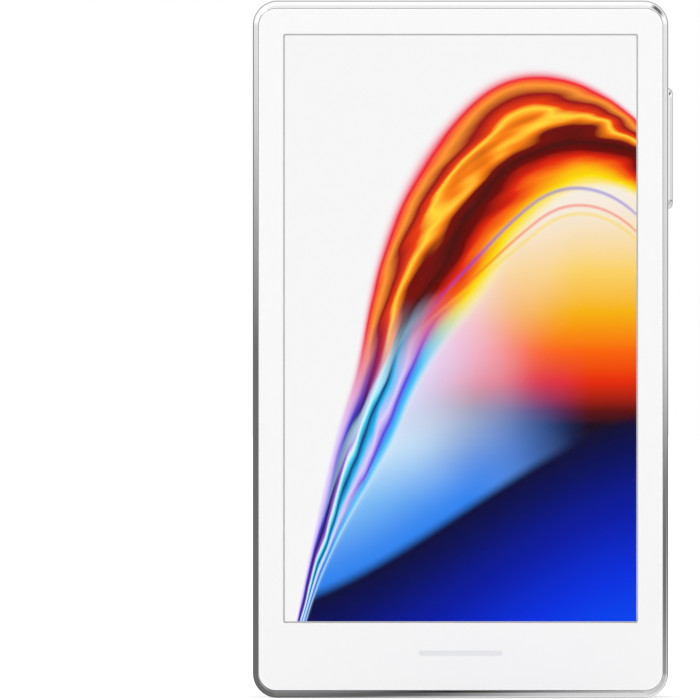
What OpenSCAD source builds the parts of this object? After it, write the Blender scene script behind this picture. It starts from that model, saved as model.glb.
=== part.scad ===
// Pocket touchscreen device: a polished metal side frame between a front and a rear glass, with a
// colour display, a rear camera with a light beside it, and one button on the right side.
// Frame of the model: X to the right, Y to the rear, Z up. The origin is the middle of the charging
// port's mouth, at the centre of the bottom edge.

/* [Body] */
// Width of the body without the button
body_w = 53.6; // [53:0.1:58]
// Height of the body
body_h = 90; // [90:0.5:96]
// Thickness over both glasses
body_t = 9; // [9:0.1:10]
// Corner radius of the side frame, seen from the front
corner_r = 3.2; // [3:0.1:4]
// Rounding of the frame's front edge
front_round = 1.1; // [1:0.05:1.3]
// Rounding of the frame's rear edge
rear_round = 1.4; // [1.3:0.05:1.6]

/* [Glasses] */
// Metal seen beside the front glass, left and right
front_band_side = 0.7; // [0.6:0.05:0.9]
// Metal seen above and below the front glass
front_band_end = 1; // [0.8:0.05:1.2]
// Metal seen beside the rear glass, left and right
rear_band_side = 0.9; // [0.8:0.05:1.1]
// Metal seen above and below the rear glass
rear_band_end = 1.3; // [1.1:0.05:1.4]
// Thickness of the front glass
front_glass_t = 0.8; // [0.6:0.05:0.9]
// Thickness of the rear glass
rear_glass_t = 0.7; // [0.6:0.05:0.8]
// Corner radius of both glasses
glass_corner_r = 2.3; // [2:0.1:2.6]
// Gap between a glass and the metal round it
glass_gap = 0.05; // [0.03:0.01:0.1]

/* [Display] */
// Width of the picture area, a 3.5 inch panel of 3 by 5
screen_w = 45.36; // [44:0.02:46]
// Height of the picture area
screen_h = 75.6; // [74:0.1:77]
// Space between the picture area and the top of the body
screen_top = 4.5; // [4:0.1:5]
// Dark line left between the white border and the picture
screen_line = 0.2; // [0.08:0.01:0.3]

/* [Button] */
// Length of the side button
button_len = 15.6; // [12:0.1:16]
// Width of the side button
button_wid = 2.4; // [2:0.1:2.6]
// How far the side button stands out
button_out = 0.7; // [0.4:0.05:0.8]
// Height of the button's middle above the bottom edge
button_z = 71; // [70.5:0.1:71.5]
// Clearance of the button in its slot
button_gap = 0.08; // [0.05:0.01:0.1]
// Travel of the button when pressed
button_travel = 0.35; // [0.2:0.05:0.4]

/* [Camera and light] */
// Distance of the camera from the right side of the body
camera_in = 6.8; // [6.6:0.1:7]
// Distance of the camera and the light from the top of the body
camera_down = 7.2; // [7:0.1:7.4]
// Diameter of the camera's dark cover glass
cover_d = 4.9; // [4.6:0.1:5]
// Outer diameter of the ring round the camera's cover glass
ring_d = 6.2; // [6:0.1:6.4]
// Distance of the light from the right side of the body
light_in = 13.8; // [13.4:0.1:14.2]
// Diameter of the light's window
light_d = 2.4; // [2:0.1:2.6]

/* [Charging port] */
// Width of the port's shell
port_w = 8.94; // [8.9:0.02:9]
// Thickness of the port's shell
port_t = 3.16; // [3.1:0.02:3.2]

/* [Inside] */
// Width of the battery
battery_w = 39; // [34:0.5:40]
// Thickness of the battery
battery_t = 2.6; // [2.2:0.1:2.6]
// Diameter of the coin vibration motor
motor_d = 8; // [7:0.1:8]
// Outer diameter of the charging coil
coil_d = 34; // [28:1:36]

/* [Hidden] */
$fn = 64;
eps = 0.01;

// Depths, from the front face to the rear face
front_y = -body_t / 2;
rear_y = body_t / 2;
side_flat_front = front_y + front_round;
side_flat_rear = rear_y - rear_round;
film_t = 0.04;
gasket_t = 0.15;
layer_gap = 0.04;
seat_gap = 0.06;
print_y = front_y + front_glass_t;
touch_y = print_y + film_t;
touch_t = 0.2;
lcd_y = touch_y + touch_t;
lcd_t = 0.8;
backlight_y = lcd_y + lcd_t;
backlight_t = 0.9;
foam_y = backlight_y + backlight_t;
tab_y = foam_y + 0.1;
tab_t = 0.8;
foam_t = tab_y + tab_t - foam_y;
mid_plate_y = tab_y + tab_t;
mid_plate_t = 0.6;
plate_rear = mid_plate_y + mid_plate_t;
standoff_t = 0.46;
board_y = plate_rear + standoff_t;
board_t = 0.8;
board_rear = board_y + board_t;
front_ledge_y = print_y + gasket_t;
rear_glass_y = rear_y - rear_glass_t;
rear_ledge_y = rear_glass_y - gasket_t;

// Inside of the side frame
wall_side = 1.9;
wall_end = 2.2;
cavity_r = 1.3;
cavity_x = body_w / 2 - wall_side;
mid_z = body_h / 2;

// Screen and outlines
screen_z = body_h - screen_top - screen_h / 2;
side_edge = body_w / 2;

// Tabs that carry the mid plate: [side, height]
tab_spots = [[-1, 6], [1, 6], [-1, 34], [1, 34], [-1, 59], [1, 58], [-1, 84]];
tab_x = cavity_x - 1.5;
tab_half = 1.5;
tab_root = 0.4;
fine_screw_r = 0.6;
fine_head_r = 1.1;
fine_head_t = 0.35;
screw_fit = 0.03;
screw_tip = 0.1;

// Screws of the two circuit boards: [x, z]
board_spots = [[-21.8, 63.5], [-21.5, 81], [9.7, 84], [18.5, 57.5], [-8.6, 8.2], [18.6, 10.6]];
board_screw_r = 0.7;
board_head_r = 1.2;
board_head_t = 0.4;
standoff_r = 1.5;

// Circuit boards
main_x0 = -24.2;
main_x1 = 21.6;
main_z0 = 55;
main_z1 = 86.8;
port_board_x0 = -11;
port_board_x1 = 21;
port_board_z0 = 3;
port_board_z1 = 12;
chip_t = 0.9;
shield_t = 1.2;
shield_wall = 0.2;
flex_t = 0.12;

// Battery
battery_z0 = 15;
battery_z1 = 50.4;
adhesive_t = 0.1;
battery_y = plate_rear + adhesive_t;
battery_rear = battery_y + battery_t;
ferrite_t = 0.2;
coil_t = 0.35;
coil_y = battery_rear + ferrite_t + layer_gap;
coil_z = (battery_z0 + battery_z1) / 2;
coil_turns = 7;

// Camera and light
camera_x = side_edge - camera_in;
camera_z = body_h - camera_down;
camera_side = 7.2;
camera_y = plate_rear + seat_gap;
barrel_y = rear_glass_y - 1.2;
foam_ring_y = rear_glass_y - 0.6;
ring_flange_y = rear_glass_y - 0.35;
cover_y = rear_glass_y + 0.15;
ring_bore_r = 2;
light_x = side_edge - light_in;
light_source_y = rear_glass_y - 1.4;
light_source_t = 0.6;

// Button, its switch and its bracket
button_x0 = cavity_x - 0.7;
button_x1 = side_edge + button_out;
flange_t = 0.62;
flange_over = 0.8;
button_room = button_len / 2 + flange_over + 0.3;
nub_x = button_x0 - 0.45;
nub_r = 0.9;
plunger_r = 0.8;
plunger_bore = 0.05;
plunger_len = 0.7;
switch_x = nub_x - 1.4;
switch_len = 3.6;
switch_half_t = 1.45;
bracket_t = 0.3;
bracket_half = 7.6;
bracket_rear = 1.9;
bracket_x = switch_x - flex_t - bracket_t;

// Charging port
port_len = 7.3;
port_in = 0.3;
port_wall = 0.25;
port_tongue_w = 6.7;
port_tongue_t = 0.7;

// Vibration motor
motor_x = -16.5;
motor_z = 8;
motor_y = plate_rear + seat_gap;
motor_t = 2.6;
motor_wall = 0.2;
motor_base_t = 0.3;
shaft_r = 0.4;
shaft_fit = 0.05;

// Outline of a rectangle with round corners
module rounded(w, h, r) {
    square([w - 2 * r, h], center = true);
    square([w, h - 2 * r], center = true);
    for (sx = [-1, 1], sz = [-1, 1])
        translate([sx * (w / 2 - r), sz * (h / 2 - r)]) circle(r);
}

// Outline with two half-round ends, len long along the first axis
module slot(len, wid) {
    square([len - wid, wid], center = true);
    for (s = [-1, 1]) translate([s * (len - wid) / 2, 0]) circle(wid / 2);
}

// Draws an outline as a sheet that faces the front, from depth y, t thick
module sheet(y, t) {
    translate([0, y + t, 0]) rotate([90, 0, 0]) linear_extrude(t) children();
}

// Rounded sheet with its middle at x, z
module plate(w, h, r, y, t, x = 0, z = 0) {
    sheet(y, t) translate([x, z]) rounded(w, h, r);
}

// Round sheet with its middle at x, z
module disc(r, y, t, x = 0, z = 0) {
    translate([x, y + t, z]) rotate([90, 0, 0]) cylinder(r = r, h = t);
}

// Box between two corners
module block(a, b) {
    translate(a) cube(b - a);
}

// Outline pushed along X from x0 to x1, its length along Z, its middle at height z
module sideways(x0, x1, z) {
    translate([x0, 0, z]) rotate([0, 90, 0]) linear_extrude(x1 - x0) children();
}

// Section of the side frame before its inside is cut: corner axis at 0, outer side at corner_r
module edge_section() {
    translate([0, side_flat_front]) square([corner_r, side_flat_rear - side_flat_front]);
    translate([0, front_y]) square([corner_r - front_round, front_round]);
    translate([corner_r - front_round, side_flat_front]) circle(front_round);
    translate([0, side_flat_rear]) square([corner_r - rear_round, rear_round]);
    translate([corner_r - rear_round, side_flat_rear]) circle(rear_round);
}

// The closed bar of that section that runs round the body
module edge_bar() {
    run_x = side_edge - corner_r;
    for (s = [0, 1]) mirror([s, 0, 0])
        translate([run_x, 0, corner_r]) linear_extrude(body_h - 2 * corner_r) edge_section();
    translate([-run_x, 0, corner_r]) rotate([0, 90, 0]) linear_extrude(2 * run_x) edge_section();
    translate([run_x, 0, body_h - corner_r]) rotate([0, -90, 0])
        linear_extrude(2 * run_x) edge_section();
    for (c = [[1, 0, 0], [-1, 0, 90], [-1, 1, 180], [1, 1, 270]])
        translate([c[0] * run_x, 0, c[1] == 0 ? corner_r : body_h - corner_r])
            rotate([-90, 0, 0]) rotate([0, 0, c[2]]) rotate_extrude(angle = 90) edge_section();
}

// Outlines of the openings that the two glasses sit in
front_open_w = body_w - 2 * front_band_side;
front_open_h = body_h - 2 * front_band_end;
rear_open_w = body_w - 2 * rear_band_side;
rear_open_h = body_h - 2 * rear_band_end;
cavity_w = 2 * cavity_x;
cavity_h = body_h - 2 * wall_end;

module side_frame() {
    color("gainsboro") {
        difference() {
            edge_bar();
            plate(front_open_w, front_open_h, glass_corner_r, front_y - 1, front_ledge_y - front_y + 1,
                  z = mid_z);
            plate(rear_open_w, rear_open_h, glass_corner_r, rear_ledge_y, gasket_t + rear_glass_t + 1,
                  z = mid_z);
            plate(cavity_w, cavity_h, cavity_r, front_y, body_t, z = mid_z);
            sideways(cavity_x - 1, side_edge + 1, button_z)
                slot(button_len + 2 * button_gap, button_wid + 2 * button_gap);
            translate([0, 0, -1]) linear_extrude(wall_end + 2) slot(port_w + 0.3, port_t + 0.3);
        }
        for (p = tab_spots) frame_tab(p[0], p[1]);
    }
}

// One threaded tab on the inner wall of the frame
module frame_tab(side, z) {
    reach = cavity_x - tab_x + tab_root;
    difference() {
        sheet(tab_y, tab_t) {
            translate([side * tab_x, z]) circle(tab_half);
            translate([side * (tab_x + reach / 2), z]) square([reach, 2 * tab_half], center = true);
        }
        disc(fine_screw_r + screw_fit, tab_y - 1, tab_t + 2, side * tab_x, z);
    }
}

module front_glass() {
    color("white", 0.3)
        plate(front_open_w - 2 * glass_gap, front_open_h - 2 * glass_gap, glass_corner_r - glass_gap,
              front_y, front_glass_t, z = mid_z);
}

// White print on the inner face of the front glass, with the window for the picture
module front_print() {
    inset = glass_gap + 0.1;
    color("white") difference() {
        plate(front_open_w - 2 * inset, front_open_h - 2 * inset, glass_corner_r - inset,
              print_y, film_t, z = mid_z);
        plate(screen_w + 2 * screen_line, screen_h + 2 * screen_line, 0.3, print_y - 1, 2, z = screen_z);
    }
}

// Double-sided tape that holds the front glass on the frame's ledge
module front_gasket() {
    inset = 0.15;
    color("dimgray") difference() {
        plate(front_open_w - 2 * inset, front_open_h - 2 * inset, glass_corner_r - inset,
              touch_y, gasket_t - film_t, z = mid_z);
        plate(cavity_w + 0.2, cavity_h + 0.2, cavity_r, touch_y - 1, 2, z = mid_z);
    }
}

// Layer of the display, larger than the picture by side, above and below
module panel(side, above, below, r, y, t) {
    plate(screen_w + 2 * side, screen_h + above + below, r, y, t, z = screen_z + (above - below) / 2);
}

module touch_sensor() {
    color("silver", 0.4) panel(1.3, 1.3, 3.7, 0.5, touch_y, touch_t);
}

module lcd_cell() {
    color("royalblue") panel(1.1, 0.9, 3.7, 0.3, lcd_y, lcd_t);
}

// Light guide and diffusers in a folded steel tray
module backlight() {
    color("white") panel(1.3, 0.8, 0.8, 0.4, backlight_y, backlight_t);
}

// Foam frame that cushions the display against the mid plate
module display_foam() {
    foam_w = 2 * (tab_x - tab_half) - 1;
    foam_h = screen_h - 4;
    bar_w = 2;
    color("dimgray") difference() {
        plate(foam_w, foam_h, 1, foam_y, foam_t, z = screen_z);
        plate(foam_w - 2 * bar_w, foam_h - 2 * bar_w, 1, foam_y - 1, foam_t + 2, z = screen_z);
    }
}

// Ribbon from the lower edge of the display, bent round to the back of the mid plate
display_flex_x = 13.2;
display_flex_w = 12.5;
display_flex_z = 4.45;
module display_flex() {
    turn_y0 = backlight_y;
    turn_y1 = plate_rear + layer_gap + flex_t;
    turn_r = (turn_y1 - turn_y0) / 2;
    color("orange") {
        translate([display_flex_x - display_flex_w / 2, (turn_y0 + turn_y1) / 2, display_flex_z])
            rotate([0, 90, 0]) linear_extrude(display_flex_w) difference() {
                circle(turn_r);
                circle(turn_r - flex_t);
                translate([-2 * turn_r, -turn_r - 1]) square([2 * turn_r, 2 * turn_r + 2]);
            }
        block([display_flex_x - display_flex_w / 2, turn_y0, display_flex_z - eps],
              [display_flex_x + display_flex_w / 2, turn_y0 + flex_t, screen_z - screen_h / 2 - 1]);
        block([display_flex_x - display_flex_w / 2, turn_y1 - flex_t, display_flex_z - eps],
              [display_flex_x + display_flex_w / 2, turn_y1, display_flex_z + 3.4]);
    }
}

module display_connector() {
    color("black")
        block([display_flex_x - 5, plate_rear + layer_gap + flex_t, display_flex_z + 0.6],
              [display_flex_x + 5, board_y, display_flex_z + 3]);
}

// Stamped steel plate that carries the boards and the battery
module mid_plate() {
    color("lightgray") difference() {
        union() {
            plate(cavity_w - 0.4, cavity_h - 0.6, cavity_r, mid_plate_y, mid_plate_t, z = mid_z);
            for (p = board_spots) disc(standoff_r, plate_rear - eps, standoff_t + eps, p[0], p[1]);
        }
        for (p = tab_spots)
            disc(fine_screw_r + screw_fit, mid_plate_y - 1, 3, p[0] * tab_x, p[1]);
        for (p = board_spots)
            disc(board_screw_r + screw_fit, mid_plate_y - 1, 3, p[0], p[1]);
        block([-port_w / 2 - 0.7, mid_plate_y - 1, 0], [20.4, plate_rear + 1, 8.9]);
        block([bracket_x - 0.2, mid_plate_y - 1, button_z - button_room],
              [side_edge, plate_rear + 1, button_z + button_room]);
    }
}

// Small flat-head screws, side by side in one node
module plate_screws() {
    color("silver") for (p = tab_spots) {
        disc(fine_head_r, plate_rear, fine_head_t, p[0] * tab_x, p[1]);
        disc(fine_screw_r, tab_y + screw_tip, plate_rear - tab_y, p[0] * tab_x, p[1]);
    }
}

module board_screws() {
    color("silver") for (p = board_spots) {
        disc(board_head_r, board_rear, board_head_t, p[0], p[1]);
        disc(board_screw_r, mid_plate_y + screw_tip, board_rear - mid_plate_y, p[0], p[1]);
    }
}

// Holes for the board screws
module board_holes() {
    for (p = board_spots) disc(board_screw_r + screw_fit, board_y - 1, board_t + 2, p[0], p[1]);
}

module main_board() {
    color("darkgreen") difference() {
        block([main_x0, board_y, main_z0], [main_x1, board_rear, main_z1]);
        block([camera_x - camera_side / 2 - 0.4, board_y - 1, camera_z - camera_side / 2 - 0.8],
              [main_x1 + 1, board_rear + 1, main_z1 + 1]);
        board_holes();
    }
}

module port_board() {
    color("darkgreen") difference() {
        block([port_board_x0, board_y, port_board_z0], [port_board_x1, board_rear, port_board_z1]);
        block([-port_w / 2 - 0.2, board_y - 1, 0],
              [port_w / 2 + 0.2, board_rear + 1, port_in + port_len + 0.2]);
        board_holes();
    }
}

// Chip of size w by h soldered on the rear of the main board
module chip(x, z, w, h, t = chip_t) {
    block([x - w / 2, board_rear, z - h / 2], [x + w / 2, board_rear + t, z + h / 2]);
}

processor_x = 0;
processor_z = 71;
radio_x = -15;
radio_z = 71;
module processor() {
    color("black") chip(processor_x - 3, processor_z + 1, 9, 9);
}

module memory_chip() {
    color("black") chip(processor_x + 5, processor_z + 2, 5, 7);
}

module power_chip() {
    color("black") chip(processor_x + 4, processor_z - 5, 5, 4);
}

module radio_chip() {
    color("black") chip(radio_x, radio_z, 6, 6);
}

module secure_chips() {
    pitch = 4.6;
    color("black") for (i = [0:3]) chip(-7 + pitch * i, main_z0 + 5, 3, 3, 0.75);
}

// Drawn steel can, open towards the board
module shield_can(x, z, w, h) {
    color("silver") difference() {
        block([x - w / 2, board_rear, z - h / 2], [x + w / 2, board_rear + shield_t, z + h / 2]);
        block([x - w / 2 + shield_wall, board_rear - 1, z - h / 2 + shield_wall],
              [x + w / 2 - shield_wall, board_rear + shield_t - shield_wall, z + h / 2 - shield_wall]);
    }
}

module processor_shield() {
    shield_can(processor_x, processor_z, 18, 16);
}

module radio_shield() {
    shield_can(radio_x, radio_z, 9, 13);
}

// Steel shell of the charging port, open at its mouth
module usb_shell() {
    color("silver") difference() {
        translate([0, 0, port_in]) linear_extrude(port_len) slot(port_w, port_t);
        translate([0, 0, port_in - 1]) linear_extrude(port_len + 1 - port_wall)
            slot(port_w - 2 * port_wall, port_t - 2 * port_wall);
    }
}

// Plastic tongue and its base inside the port's shell
module usb_tongue() {
    base_len = 1.6;
    base_z = port_in + port_len - port_wall - base_len;
    color("black") {
        translate([0, 0, base_z]) linear_extrude(base_len)
            slot(port_w - 2 * port_wall - 0.04, port_t - 2 * port_wall - 0.04);
        block([-port_tongue_w / 2, -port_tongue_t / 2, port_in + 0.6],
              [port_tongue_w / 2, port_tongue_t / 2, base_z + eps]);
    }
}

// Soft seal between the port's shell and the frame
module usb_gasket() {
    color("dimgray") translate([0, 0, wall_end + 0.02]) linear_extrude(0.6) difference() {
        slot(port_w + 1.1, port_t + 0.2);
        slot(port_w + 0.04, port_t + 0.04);
    }
}

// Ribbon that joins the port board to the main board, beside the battery
link_y = board_rear + 0.6;
module link_flex() {
    color("orange") {
        block([-10, link_y, port_board_z1 - 2.4], [-6, link_y + flex_t, port_board_z1 + 2.4]);
        block([-23.6, link_y, port_board_z1 + 0.6], [-6, link_y + flex_t, port_board_z1 + 2.4]);
        block([-23.6, link_y, port_board_z1 + 0.6], [-21.4, link_y + flex_t, main_z0 + 1.4]);
        block([-23.6, link_y, main_z0 + 0.2], [-14.4, link_y + flex_t, main_z0 + 1.4]);
    }
}

module link_connectors() {
    color("black") {
        block([-9.9, board_rear, port_board_z1 - 0.9], [-6.1, link_y, port_board_z1 - 0.1]);
        block([-19.6, board_rear, main_z0 + 0.1], [-14.6, link_y, main_z0 + 1.5]);
    }
}

module battery_cell() {
    color("lightslategray")
        plate(battery_w, battery_z1 - battery_z0, 1, battery_y, battery_t, z = coil_z);
}

module battery_adhesive() {
    color("white") for (s = [-1, 1])
        plate(8, battery_z1 - battery_z0 - 4, 0.5, plate_rear, adhesive_t, s * battery_w / 4, coil_z);
}

// Protection circuit at the top edge of the battery, under the end of the lead
lead_y = board_rear + 0.7;
module protection_board() {
    color("darkgreen")
        block([-16, lead_y - board_t, battery_z1 + 0.3], [16, lead_y, battery_z1 + 3.4]);
}

battery_lead_x = 12;
module battery_connector() {
    color("black")
        block([battery_lead_x - 2.6, board_rear, main_z0 + 0.6],
              [battery_lead_x + 2.6, lead_y, main_z0 + 3]);
}

module battery_lead() {
    color("orange")
        block([battery_lead_x - 2, lead_y, battery_z1 + 1],
              [battery_lead_x + 2, lead_y + flex_t, main_z0 + 3]);
}

module ferrite_sheet() {
    color("darkslategray")
        plate(coil_d + 2, coil_d + 1, 2, battery_rear + layer_gap / 2, ferrite_t, z = coil_z);
}

// Flat winding of the charging coil, with its two tails to the main board
module charging_coil() {
    outer = coil_d / 2;
    inner = outer * 0.5;
    pitch = (outer - inner) / coil_turns;
    color("darkorange") {
        sheet(coil_y, coil_t / 2) translate([0, coil_z]) difference() {
            circle(outer);
            circle(inner);
        }
        for (i = [0:coil_turns - 1]) sheet(coil_y, coil_t) translate([0, coil_z]) difference() {
            circle(inner + (i + 0.85) * pitch);
            circle(inner + (i + 0.15) * pitch);
        }
        for (s = [-1, 1])
            block([s * 1.6 - 0.6, coil_y, coil_z + outer - 0.8],
                  [s * 1.6 + 0.6, coil_y + coil_t / 2, main_z0 + 2]);
    }
}

// Plastic block that carries the antenna near the top edge
antenna_x0 = -19.5;
antenna_x1 = 8;
antenna_z0 = 82.2;
antenna_y = rear_glass_y - 0.6;
antenna_wall = 0.8;
module antenna_carrier() {
    color("ivory") difference() {
        block([antenna_x0, board_rear, antenna_z0], [antenna_x1, antenna_y, main_z1]);
        block([antenna_x0 + antenna_wall, board_rear - 1, antenna_z0 + antenna_wall],
              [antenna_x1 - antenna_wall, antenna_y - antenna_wall, main_z1 - antenna_wall]);
    }
}

module antenna_flex() {
    inset = 0.3;
    color("orange") sheet(antenna_y, flex_t) difference() {
        translate([antenna_x0 + inset, antenna_z0 + inset])
            square([antenna_x1 - antenna_x0 - 2 * inset, main_z1 - antenna_z0 - 2 * inset]);
        for (i = [0:4])
            translate([antenna_x0 + 3 + 5 * i, antenna_z0 + (i % 2 == 0 ? -0.2 : 1.4)]) square([0.6, 3]);
    }
}

// Camera: housing, lens barrel, front lens, foam ring and ribbon
module camera_module() {
    color("black")
        plate(camera_side, camera_side, 0.6, camera_y, barrel_y - camera_y, camera_x, camera_z);
}

barrel_r = 2.7;
lens_r = 1.15;
module camera_barrel() {
    color("black") translate([camera_x, barrel_y, camera_z]) rotate([-90, 0, 0]) rotate_extrude()
        difference() {
            square([barrel_r, foam_ring_y - barrel_y]);
            translate([0, 0.3]) square([lens_r + 0.02, 1]);
            translate([0, 0.45]) square([1.7, 1]);
        }
}

module camera_lens() {
    color("midnightblue") disc(lens_r, barrel_y + 0.3, 0.14, camera_x, camera_z);
}

module camera_foam() {
    color("dimgray") difference() {
        disc(barrel_r, foam_ring_y, ring_flange_y - foam_ring_y, camera_x, camera_z);
        disc(2.15, foam_ring_y - 1, 2, camera_x, camera_z);
    }
}

// Ribbon from the camera to the main board
module camera_flex() {
    z1 = camera_z - camera_side / 2;
    color("orange")
        block([camera_x - 2.5, board_rear, z1 - 5], [camera_x + 1, board_rear + flex_t, z1]);
}

// Ring round the camera, set in the rear glass, with a seat for the cover glass
module camera_ring() {
    color("white") translate([camera_x, 0, camera_z]) rotate([-90, 0, 0]) rotate_extrude() {
        translate([cover_d / 2 + 0.03, ring_flange_y])
            square([(ring_d - cover_d) / 2 - 0.03, rear_y - 0.02 - ring_flange_y]);
        translate([ring_bore_r, ring_flange_y])
            square([ring_d / 2 + 0.7 - ring_bore_r, rear_glass_y - 0.02 - ring_flange_y]);
        translate([ring_bore_r, ring_flange_y]) square([1, cover_y - ring_flange_y]);
    }
}

module camera_cover() {
    color("black") disc(cover_d / 2, cover_y, rear_y - 0.05 - cover_y, camera_x, camera_z);
}

// Light beside the camera: its carrier, the light source and the window in the rear glass
module flash_base() {
    color("darkgreen")
        block([light_x - 1.6, board_rear, camera_z - 1.6],
              [light_x + 0.9, light_source_y, camera_z + 1.6]);
}

module flash_led() {
    color("gold")
        block([light_x - 1, light_source_y, camera_z - 0.8],
              [light_x + 0.8, light_source_y + light_source_t, camera_z + 0.8]);
}

module flash_lens() {
    color("khaki") translate([light_x, 0, camera_z]) rotate([-90, 0, 0]) rotate_extrude() {
        translate([0, rear_glass_y - 0.4]) square([light_d / 2, rear_y - 0.02 - rear_glass_y + 0.4]);
        translate([0, rear_glass_y - 0.4]) square([light_d / 2 + 0.5, 0.38]);
    }
}

// Button with a flange that keeps it in its slot and a nub that pushes the switch
module power_button() {
    color("whitesmoke") {
        sideways(button_x0, button_x1 - 0.2, button_z) slot(button_len, button_wid);
        sideways(button_x0, button_x1, button_z) slot(button_len - 0.4, button_wid - 0.4);
        sideways(button_x0, button_x0 + flange_t, button_z)
            slot(button_len + 2 * flange_over, button_wid + flange_over);
        sideways(nub_x, button_x0 + 0.1, button_z) circle(nub_r);
    }
}

module switch_plunger() {
    color("black") sideways(nub_x - plunger_len, nub_x, button_z) circle(plunger_r);
}

module side_switch() {
    color("silver") difference() {
        block([switch_x, -switch_half_t, button_z - switch_len / 2],
              [nub_x - button_travel - 0.05, switch_half_t, button_z + switch_len / 2]);
        sideways(nub_x - plunger_len - button_travel - 0.05, nub_x, button_z)
            circle(plunger_r + plunger_bore);
    }
}

// Ribbon behind the switch, folded over the bracket onto the main board
module side_key_flex() {
    color("orange") {
        block([switch_x - flex_t, -switch_half_t, button_z - 4],
              [switch_x, bracket_rear + flex_t, button_z + 4]);
        block([bracket_x - 3.4, bracket_rear, button_z - 1.5],
              [switch_x - flex_t + eps, bracket_rear + flex_t, button_z + 1.5]);
    }
}

// Steel bracket that backs the switch, with a foot on the mid plate
module button_bracket() {
    color("lightgray") {
        block([bracket_x, -switch_half_t, button_z - bracket_half],
              [bracket_x + bracket_t, bracket_rear, button_z + bracket_half]);
        block([bracket_x - 3.6, plate_rear, button_z - 5],
              [bracket_x + eps, plate_rear + bracket_t, button_z + 5]);
    }
}

// Coin motor: drawn case, base, fixed shaft and the off-centre weight that spins
module motor_case() {
    color("silver") translate([motor_x, 0, motor_z]) rotate([-90, 0, 0]) rotate_extrude() {
        translate([motor_d / 2 - motor_wall, motor_y])
            square([motor_wall, motor_t]);
        translate([0, motor_y + motor_t - motor_wall]) square([motor_d / 2, motor_wall]);
    }
}

module motor_base() {
    color("dimgray") disc(motor_d / 2 - motor_wall - 0.02, motor_y, motor_base_t, motor_x, motor_z);
}

module motor_shaft() {
    color("silver")
        disc(shaft_r, motor_y + motor_base_t, motor_t - motor_base_t - motor_wall, motor_x, motor_z);
}

module motor_rotor() {
    rotor_r = motor_d / 2 - motor_wall - 0.3;
    rotor_gap = 0.25;
    rotor_t = motor_t - motor_base_t - motor_wall - 2 * rotor_gap;
    color("darkgoldenrod") sheet(motor_y + motor_base_t + rotor_gap, rotor_t)
        translate([motor_x, motor_z]) difference() {
            union() {
                intersection() {
                    circle(rotor_r);
                    translate([-rotor_r, -rotor_r]) square([2 * rotor_r, rotor_r]);
                }
                circle(1.2);
            }
            circle(shaft_r + shaft_fit);
        }
}

// Double-sided tape that holds the rear glass on the frame's ledge
module back_gasket() {
    inset = 0.15;
    color("dimgray") difference() {
        plate(rear_open_w - 2 * inset, rear_open_h - 2 * inset, glass_corner_r - inset,
              rear_ledge_y, gasket_t, z = mid_z);
        plate(cavity_w + 0.1, cavity_h + 0.1, cavity_r, rear_ledge_y - 1, 2, z = mid_z);
    }
}

// Rear glass, printed white inside, with openings for the camera ring and the light
module back_glass() {
    color("white") difference() {
        plate(rear_open_w - 2 * glass_gap, rear_open_h - 2 * glass_gap, glass_corner_r - glass_gap,
              rear_glass_y, rear_glass_t, z = mid_z);
        disc(ring_d / 2 + 0.02, rear_glass_y - 1, rear_glass_t + 2, camera_x, camera_z);
        disc(light_d / 2 + 0.02, rear_glass_y - 1, rear_glass_t + 2, light_x, camera_z);
    }
}

side_frame();
front_glass();
front_print();
front_gasket();
touch_sensor();
lcd_cell();
backlight();
display_foam();
display_flex();
display_connector();
mid_plate();
plate_screws();
main_board();
processor();
memory_chip();
power_chip();
radio_chip();
secure_chips();
processor_shield();
radio_shield();
board_screws();
port_board();
usb_shell();
usb_tongue();
usb_gasket();
link_flex();
link_connectors();
battery_cell();
battery_adhesive();
protection_board();
battery_connector();
battery_lead();
ferrite_sheet();
charging_coil();
antenna_carrier();
antenna_flex();
camera_module();
camera_barrel();
camera_lens();
camera_foam();
camera_flex();
camera_ring();
camera_cover();
flash_led();
flash_base();
flash_lens();
power_button();
switch_plunger();
side_switch();
side_key_flex();
button_bracket();
motor_case();
motor_base();
motor_shaft();
motor_rotor();
back_gasket();
back_glass();
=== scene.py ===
import math

import bmesh
import bpy
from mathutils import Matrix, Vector


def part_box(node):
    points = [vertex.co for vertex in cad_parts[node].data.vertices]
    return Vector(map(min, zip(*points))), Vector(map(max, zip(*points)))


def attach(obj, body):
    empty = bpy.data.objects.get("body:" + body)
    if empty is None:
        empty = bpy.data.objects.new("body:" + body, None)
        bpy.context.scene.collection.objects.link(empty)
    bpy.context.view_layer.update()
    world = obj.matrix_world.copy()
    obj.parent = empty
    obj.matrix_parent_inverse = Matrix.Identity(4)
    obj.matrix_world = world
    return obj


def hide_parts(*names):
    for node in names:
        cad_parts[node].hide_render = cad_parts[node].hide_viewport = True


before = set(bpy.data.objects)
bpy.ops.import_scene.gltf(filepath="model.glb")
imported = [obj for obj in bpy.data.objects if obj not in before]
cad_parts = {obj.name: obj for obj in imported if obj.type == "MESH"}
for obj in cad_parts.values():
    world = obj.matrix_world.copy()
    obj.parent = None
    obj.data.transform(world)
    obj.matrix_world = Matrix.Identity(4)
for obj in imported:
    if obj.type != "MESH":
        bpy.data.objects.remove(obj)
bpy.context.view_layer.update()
bpy.ops.object.select_all(action="DESELECT")


# Camera: level and square to the display and a metre in front of it, with a long lens that keeps
# the sides of the body parallel. Sizes are in millimetres here and below, as in the CAD, apart from
# those of the studio, which are in metres.
MM = 0.001


def cad(node):
    """Lowest and highest corner of a CAD node, in millimetres."""
    low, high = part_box(node)
    return low / MM, high / MM


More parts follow.
